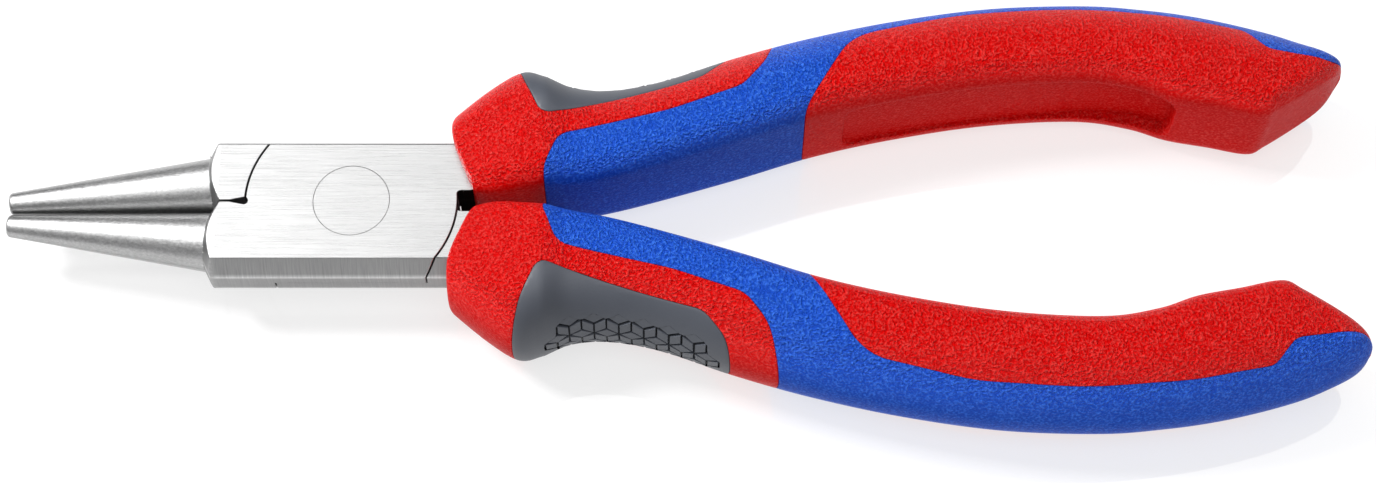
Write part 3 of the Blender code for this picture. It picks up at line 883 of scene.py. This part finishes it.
def hard_base(data, faces):
    """Red at the surface in its own fields, and let in below the other mouldings."""
    for row in data:
        row[RED] = min(row[RED], -row[THUMB])
    for level in EASED_LEVELS:
        faces = scored(data, faces, RED, level)
    for share in (-1, -0.3, 0, 0.3, 1):
        faces = scored(data, faces, RECESS, share * RECESS_EASE)
    surface, recess_bottom, under_skin = range(3)
    layers = []
    for face in faces:
        if not side_of(data, face, RED, SEAM / 2):
            layers.append(under_skin)
        elif side_of(data, face, RECESS, 0.0):
            layers.append(recess_bottom)
        else:
            layers.append(surface)

    def point_at(layer, index):
        row = data[index]
        if layer == under_skin:
            return Vector(row[:3] - row[3:6] * LET_IN)
        if layer == recess_bottom:
            rise = eased_drop(SEAM / 2 + row[RECESS], RECESS_EASE)
            return Vector((row[0], row[1] + recess_depth(row[0]) - rise, row[2]))
        drop = eased_drop(row[RED], EASED_EDGE)
        drop += eased_drop(SEAM / 2 - row[RECESS], RECESS_EASE)
        return Vector(row[:3] - row[3:6] * drop)

    return moulded("hard_base", faces, layers, point_at)


PEBBLE_SCALE = 3300.0
FINER_SCALE = 2.3 * PEBBLE_SCALE


def moulded_plastic(name, base, painted_glint, polish, grain_depth):
    """Coloured plastic with the fine pebbled grain of an eroded mould, glints painted lighter on
    the pebbles and shade painted on the steep sides.
    """
    material, tree, shader = finish_tree(name)
    pebbles = noise(tree, (1, 1, 1), PEBBLE_SCALE)
    finer = noise(tree, (1, 1, 1), FINER_SCALE, detail=1.0)
    cloud = noise(tree, (1, 1, 1), 90.0)
    # Painted highlight on real grain: the pebble tops are tinted lighter, as glints
    tint = add_node(tree, "ShaderNodeMix", {
        "Factor": spread(tree, pebbles, (0.45, 0.78)), "A": (*base, 1.0), "B": (*painted_glint, 1.0),
    }, data_type="RGBA")
    flatness = maths(tree, "ABSOLUTE", axes_of(tree, "Normal")["Z"])
    # Painted shade: steep sides are darker than the tops
    tint_with_painted_shade = add_node(tree, "ShaderNodeVectorMath", {
        0: tint.outputs["Result"], "Scale": spread(tree, flatness, (0.1, 0.65), (0.74, 1.0)),
    }, operation="SCALE")
    feed(tree, shader, {
        "Base Color": tint_with_painted_shade.outputs["Vector"],
        "Roughness": spread(tree, cloud, NOISE_SPAN, (polish - 0.05, polish + 0.05)),
        "Specular IOR Level": spread(tree, flatness, (0.2, 0.8), (0.04, 0.34)),
        "IOR": 1.3,
    })
    height = maths(tree, "MULTIPLY_ADD", finer, 0.35, pebbles)
    strength = spread(tree, flatness, (0.25, 0.75), (0.22, 1.0))
    relief_on(tree, shader, height, strength, grain_depth)
    return material


def dress(drawn, part, body, finishes, stands_for=None, crisp=40):
    """Place one moulding on its lever and give it its finishes."""
    piece = placed(body.replace("handle", part), drawn, body.startswith("lower"))
    for finish in finishes:
        piece.data.materials.append(finish)
    shade(piece, crisp)
    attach(piece, body)
    if stands_for:
        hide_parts(body.replace("handle", stands_for))


# The second colour is the painted glint on the grain's pebbles
hard_red = moulded_plastic("hard_red", (0.80, 0.001, 0.001), (1.0, 0.07, 0.06), 0.31, 0.0009)
base_moulding = hard_base(*grip_faces())
for body in ("upper_handle", "lower_handle"):
    dress(base_moulding, "hard_base", body, [hard_red], "grip_base")


# ---------------------------------------------------------------- soft blue skins
# A second shot of softer blue plastic fills the let-in bed between the front
# strip and the rear panel, along the palm side and round the tail.

SKIN_CLEARANCE = 0.03


def inlay(name, data, faces, field, sunk_field=None, sunk_depth=0.0):
    """A closed skin that fills one colour field, with eased edges and a flat bed."""
    for level in EASED_LEVELS:
        faces = scored(data, faces, field, level)
    if sunk_field is not None:
        faces = scored(data, faces, sunk_field, 0.0)
    faces = [face for face in faces if side_of(data, face, field, SEAM / 2)]
    surface, sunk, bed = range(3)
    layers = [
        sunk if sunk_field is not None and side_of(data, face, sunk_field, 0.0) else surface
        for face in faces
    ]

    def point_at(layer, index):
        row = data[index]
        edge = eased_drop(row[field], EASED_EDGE)
        drop = {surface: edge, sunk: sunk_depth, bed: LET_IN - SKIN_CLEARANCE}[layer]
        return Vector(row[:3] - row[3:6] * drop)

    return moulded(name, faces, layers, point_at, bed, sunk)


# The second colour is the painted glint on the grain's pebbles
soft_blue = moulded_plastic("soft_blue", (0.010, 0.080, 0.60), (0.06, 0.24, 1.0), 0.35, 0.0008)
skin_data, skin_faces = grip_faces()
for row in skin_data:
    row[RED] = -row[RED]
skin_moulding = inlay("soft_blue_skin", skin_data, skin_faces, RED)
for body in ("upper_handle", "lower_handle"):
    dress(skin_moulding, "soft_blue_skin", body, [soft_blue], "soft_skin")


# --------------------------------------------------------------------- thumb pads
# A smooth grey rubber pad is let into the palm side of each collar and strip.
# Its hollow carries a field of raised lozenge tiles for the thumb, moulded in
# one with it.

TILE_SIDE = 1.68
TILE_GROOVE = 0.16
TILE_HEIGHT = 0.28
TILE_FOOT = -0.12
TILE_EASE = 0.05
TILE_SUNK = 0.05
TILE_FIELD_X = 33.0
TILE_HALF_COLUMNS = 3.2
# For each line of hexagons: its number, and its first and last column
TILE_LINES = ((-1, -2, 3), (0, -3, 3), (1, -2, 3))
SITE_LINES, SITE_COLUMNS = 3, 9
TILE_TURNS = (30, 150, 270)
PAD_MARGIN = 0.3
OFF_BED = -9.0
TILE_BED = 9


def tile_bed_outline():
    """Outline of the bed that the tiles fill: the edge of a patch of whole hexagons."""
    sides = set()
    for line, first, last in TILE_LINES:
        for column in range(first, last + 1):
            x = TILE_FIELD_X + (column - line % 2 / 2) * math.sqrt(3) * TILE_SIDE
            hexagon = arc((x, line * 1.5 * TILE_SIDE), (TILE_SIDE, TILE_SIDE), 30, 330, 5)
            ring = [(round(a, 3), round(b, 3)) for a, b in hexagon]
            sides.update(zip(ring, ring[1:] + ring[:1]))
    rim = {a: b for a, b in sides if (b, a) not in sides}
    outline = [min(rim)]
    while rim[outline[-1]] != outline[0]:
        outline.append(rim[outline[-1]])
    return np.array(outline)


def lozenge():
    """One flat tile with eased edges, its short diagonal along Y."""
    bm = bmesh.new()
    rings = []
    for inset, height in ((0.0, TILE_FOOT), (0.0, TILE_HEIGHT * 0.75), (TILE_EASE, TILE_HEIGHT)):
        short = TILE_SIDE / 2 - (TILE_GROOVE / 2 + inset) / math.sin(math.radians(60))
        wide = short * math.sqrt(3)
        corners = [(wide, 0), (0, short), (-wide, 0), (0, -short)]
        rings.append([bm.verts.new((x, y, height)) for x, y in corners])
    for ring, after in zip(rings, rings[1:]):
        for i in range(4):
            j = (i + 1) % 4
            bm.faces.new((ring[i], ring[j], after[j], after[i]))
    bm.faces.new(rings[-1])
    bm.faces.new(rings[0][::-1])
    return workpiece("lozenge", bm)


def tile_field_tree(tile, finish):
    """Set tiles on the pad: sites on a plan grid are dropped on to its hollow face."""
    tree = bpy.data.node_groups.new("thumb_tiles", "GeometryNodeTree")
    tree.interface.new_socket("Pad", in_out="INPUT", socket_type="NodeSocketGeometry")
    tree.interface.new_socket("Tiles", in_out="OUTPUT", socket_type="NodeSocketGeometry")
    sizes = {}
    for name in ("Tile Side", "Field Middle X", "Half Columns"):
        socket = tree.interface.new_socket(name, in_out="INPUT", socket_type="NodeSocketFloat")
        sizes[name] = socket.identifier
    given = add_node(tree, "NodeGroupInput").outputs

    def calc(operation, *values):
        return maths(tree, operation, *values)

    index = add_node(tree, "GeometryNodeInputIndex").outputs["Index"]
    line = calc("FLOOR", calc("DIVIDE", index, SITE_COLUMNS))
    column = calc("SUBTRACT", index, calc("MULTIPLY", line, SITE_COLUMNS))
    shift = calc("MULTIPLY", calc("MODULO", calc("ADD", line, 1.0), 2.0), 0.5)
    along = calc("ADD", calc("SUBTRACT", column, SITE_COLUMNS // 2), shift)
    side = given["Tile Side"]
    site_x = calc("MULTIPLY", calc("MULTIPLY", along, math.sqrt(3)), side)
    site_x = calc("ADD", site_x, given["Field Middle X"])
    from_middle = calc("SUBTRACT", line, SITE_LINES // 2)
    site_z = calc("MULTIPLY", calc("MULTIPLY", from_middle, 1.5), side)
    past_end = calc("GREATER_THAN", calc("ABSOLUTE", along), given["Half Columns"])
    joined = add_node(tree, "GeometryNodeJoinGeometry")
    for turn in TILE_TURNS:
        heading = math.radians(turn)
        site = add_node(tree, "ShaderNodeCombineXYZ", {
            "X": calc("ADD", site_x, calc("MULTIPLY", side, math.cos(heading) / 2)), "Y": 40.0,
            "Z": calc("ADD", site_z, calc("MULTIPLY", side, math.sin(heading) / 2)),
        })
        points = add_node(tree, "GeometryNodeMeshLine", {"Count": SITE_COLUMNS * SITE_LINES})
        spread_out = add_node(tree, "GeometryNodeSetPosition", {
            "Geometry": points.outputs["Mesh"], "Position": site.outputs["Vector"],
        })
        ray = add_node(tree, "GeometryNodeRaycast", {
            "Target Geometry": given["Pad"], "Ray Direction": (0, -1, 0), "Ray Length": 60.0,
            "Source Position": add_node(tree, "GeometryNodeInputPosition").outputs["Position"],
        }).outputs
        face_out = add_node(
            tree, "FunctionNodeAlignRotationToVector", {"Vector": ray["Hit Normal"]}, axis="Z"
        )
        turned = add_node(tree, "FunctionNodeAlignRotationToVector", {
            "Rotation": face_out.outputs["Rotation"],
            "Vector": (math.cos(heading), 0, math.sin(heading)),
        }, axis="Y", pivot_axis="Z")
        with_turn = add_node(tree, "GeometryNodeStoreNamedAttribute", {
            "Geometry": spread_out.outputs["Geometry"], "Name": "tile_turn",
            "Value": turned.outputs["Rotation"],
        }, data_type="QUATERNION")
        missed = calc("LESS_THAN", ray["Is Hit"], 0.5)
        kept = add_node(tree, "GeometryNodeDeleteGeometry", {
            "Geometry": with_turn.outputs["Geometry"],
            "Selection": calc("MAXIMUM", past_end, missed),
        })
        landed = add_node(tree, "GeometryNodeSetPosition", {
            "Geometry": kept.outputs["Geometry"], "Position": ray["Hit Position"],
        })
        own_turn = add_node(
            tree, "GeometryNodeInputNamedAttribute", {"Name": "tile_turn"}, data_type="QUATERNION"
        )
        shape = add_node(tree, "GeometryNodeObjectInfo", {"Object": tile})
        laid = add_node(tree, "GeometryNodeInstanceOnPoints", {
            "Points": landed.outputs["Geometry"], "Instance": shape.outputs["Geometry"],
            "Rotation": own_turn.outputs["Attribute"],
        })
        tree.links.new(laid.outputs["Instances"], joined.inputs["Geometry"])
    field = add_node(
        tree, "GeometryNodeRealizeInstances", {"Geometry": joined.outputs["Geometry"]}
    )
    finished = add_node(tree, "GeometryNodeSetMaterial", {
        "Geometry": field.outputs["Geometry"], "Material": finish,
    })
    add_node(tree, "NodeGroupOutput", {"Tiles": finished.outputs["Geometry"]})
    return tree, sizes


def grey_rubber(name, tone):
    """Smooth matte grey rubber; a tone below 1 paints shade into the grooves between the tiles."""
    material, tree, shader = finish_tree(name)
    cloud = noise(tree, (1, 1, 1), 160.0, detail=3.0)
    tint = add_node(tree, "ShaderNodeMix", {
        "Factor": cloud,
        "A": (0.062 * tone, 0.069 * tone, 0.086 * tone, 1.0),
        "B": (0.078 * tone, 0.086 * tone, 0.106 * tone, 1.0),
    }, data_type="RGBA")
    feed(tree, shader, {
        "Base Color": tint.outputs["Result"],
        "Roughness": spread(tree, cloud, NOISE_SPAN, (0.44, 0.52)),
        "Specular IOR Level": 0.5 * tone,
    })
    relief_on(tree, shader, noise(tree, (1, 1, 1), 3500.0), 0.4, 0.00003)
    return material


def laid_tiles(pad, tile, finish):
    """The field of tiles as one plain mesh, laid on the pad's moulding."""
    carrier = object_of("pad_carrier", pad)
    layer = carrier.modifiers.new("thumb_tiles", "NODES")
    layer.node_group, sizes = tile_field_tree(tile, finish)
    layer[sizes["Tile Side"]] = TILE_SIDE
    layer[sizes["Field Middle X"]] = TILE_FIELD_X
    layer[sizes["Half Columns"]] = TILE_HALF_COLUMNS
    mesh = frozen(carrier)
    mesh.materials.clear()
    bpy.data.objects.remove(carrier)
    return mesh


pad_grey = grey_rubber("pad_grey", 1.0)
# Painted shade: the tile bed and its walls are painted near black, where shade falls between the
# tiles
groove_painted_shade = grey_rubber("groove_painted_shade", 0.14)
pad_data, pad_faces = grip_faces()
in_bed = depth_inside(tile_bed_outline(), np.array([(row[0], row[2]) for row in pad_data]))
pad_data = [
    np.append(row, inside if row[THUMB] > PAD_MARGIN else OFF_BED)
    for row, inside in zip(pad_data, in_bed)
]
pad_moulding = inlay(
    "thumb_pad", pad_data, pad_faces, THUMB, TILE_BED, TILE_HEIGHT + TILE_SUNK
)
tile = lozenge()
tile_moulding = laid_tiles(pad_moulding, tile, pad_grey)
bpy.data.objects.remove(tile)
for body in ("upper_handle", "lower_handle"):
    dress(pad_moulding, "thumb_pad", body, [pad_grey, groove_painted_shade], "thumb_pad")
    dress(tile_moulding, "thumb_tiles", body, [pad_grey], crisp=25)


# -------------------------------------------------------------------- studio table
# A broad white table with a faint gloss, wide soft lights above it, and a
# camera looking steeply down across the tool.

FLOOR_Z = -4.33
TABLE_REACH = 3.0 * math.sqrt(2)
TOOL_MIDDLE = (0.03, 0.0, 0.0)
# Place, what it looks at, its two sizes in metres, and watts
LIGHTS = {
    "back_box": ((0.02, 0.315, 0.68), TOOL_MIDDLE, (1.3, 0.30), 1.6),
    "overhead_box": ((0.0, -0.20, 0.70), TOOL_MIDDLE, (0.9, 0.30), 1.5),
    "front_strip": ((0.0, -0.85, 0.25), TOOL_MIDDLE, (1.6, 0.14), 0.35),
    "key_box": ((-0.34, 0.14, 0.48), (0.04, 0.0, 0.0), (0.12, 0.12), 3.4),
}
CAMERA_PLACE = (0.03957, -0.14006, 0.29868)
CAMERA_TILT_DEG = 24.7
CAMERA_LENS = 71.87


def white_table():
    """White table top that shows a faint reflection of the tool."""
    material, tree, shader = finish_tree("white_table")
    haze = noise(tree, (1, 1, 1), 6.0)
    feed(tree, shader, {
        "Base Color": (0.30, 0.30, 0.30, 1.0),
        "Roughness": spread(tree, haze, NOISE_SPAN, (0.01, 0.03)),
        "IOR": 1.6,
        "Emission Color": (1.0, 1.0, 1.0, 1.0),
        "Emission Strength": 0.70,
    })
    return material


square = arc((0, 0), (TABLE_REACH, TABLE_REACH), 45, 315, 3)
table_top = bpy.data.meshes.new("studio_table")
table_top.from_pydata([(x, y, FLOOR_Z * MM) for x, y in square], [], [(0, 1, 2, 3)])
table_top.materials.append(white_table())
table = object_of("studio_table", table_top)

for name, (position, target, (width, depth), power) in LIGHTS.items():
    glow = bpy.data.lights.new(name, "AREA")
    glow.shape = "RECTANGLE"
    glow.size = width
    glow.size_y = depth
    glow.energy = power
    lamp = object_of(name, glow)
    lamp.location = position
    aim = Vector(target) - Vector(position)
    lamp.rotation_euler = aim.to_track_quat("-Z", "Y").to_euler()

world = bpy.data.worlds.new("studio_air")
bpy.context.scene.world = world
world.use_nodes = True
air = world.node_tree
heading = add_node(air, "ShaderNodeTexCoord").outputs["Generated"]
upward = add_node(air, "ShaderNodeSeparateXYZ", {"Vector": heading}).outputs["Z"]
ramp = add_node(air, "ShaderNodeValToRGB", {"Fac": upward})
dim, bright = ramp.color_ramp.elements
dim.position, dim.color = 0.3, (0.08, 0.08, 0.09, 1.0)
bright.position, bright.color = 0.9, (1.0, 1.0, 1.0, 1.0)
feed(air, air.nodes["Background"], {"Color": ramp.outputs["Color"], "Strength": 0.55})

lens = bpy.data.cameras.new("product_camera")
lens.sensor_width = 36.0
lens.lens = CAMERA_LENS
lens.clip_start = 0.01
lens.clip_end = 20.0
camera = object_of("product_camera", lens)
camera.location = CAMERA_PLACE
camera.rotation_euler = (math.radians(CAMERA_TILT_DEG), 0.0, 0.0)
bpy.context.scene.camera = camera
bpy.context.scene.view_settings.view_transform = "Standard"
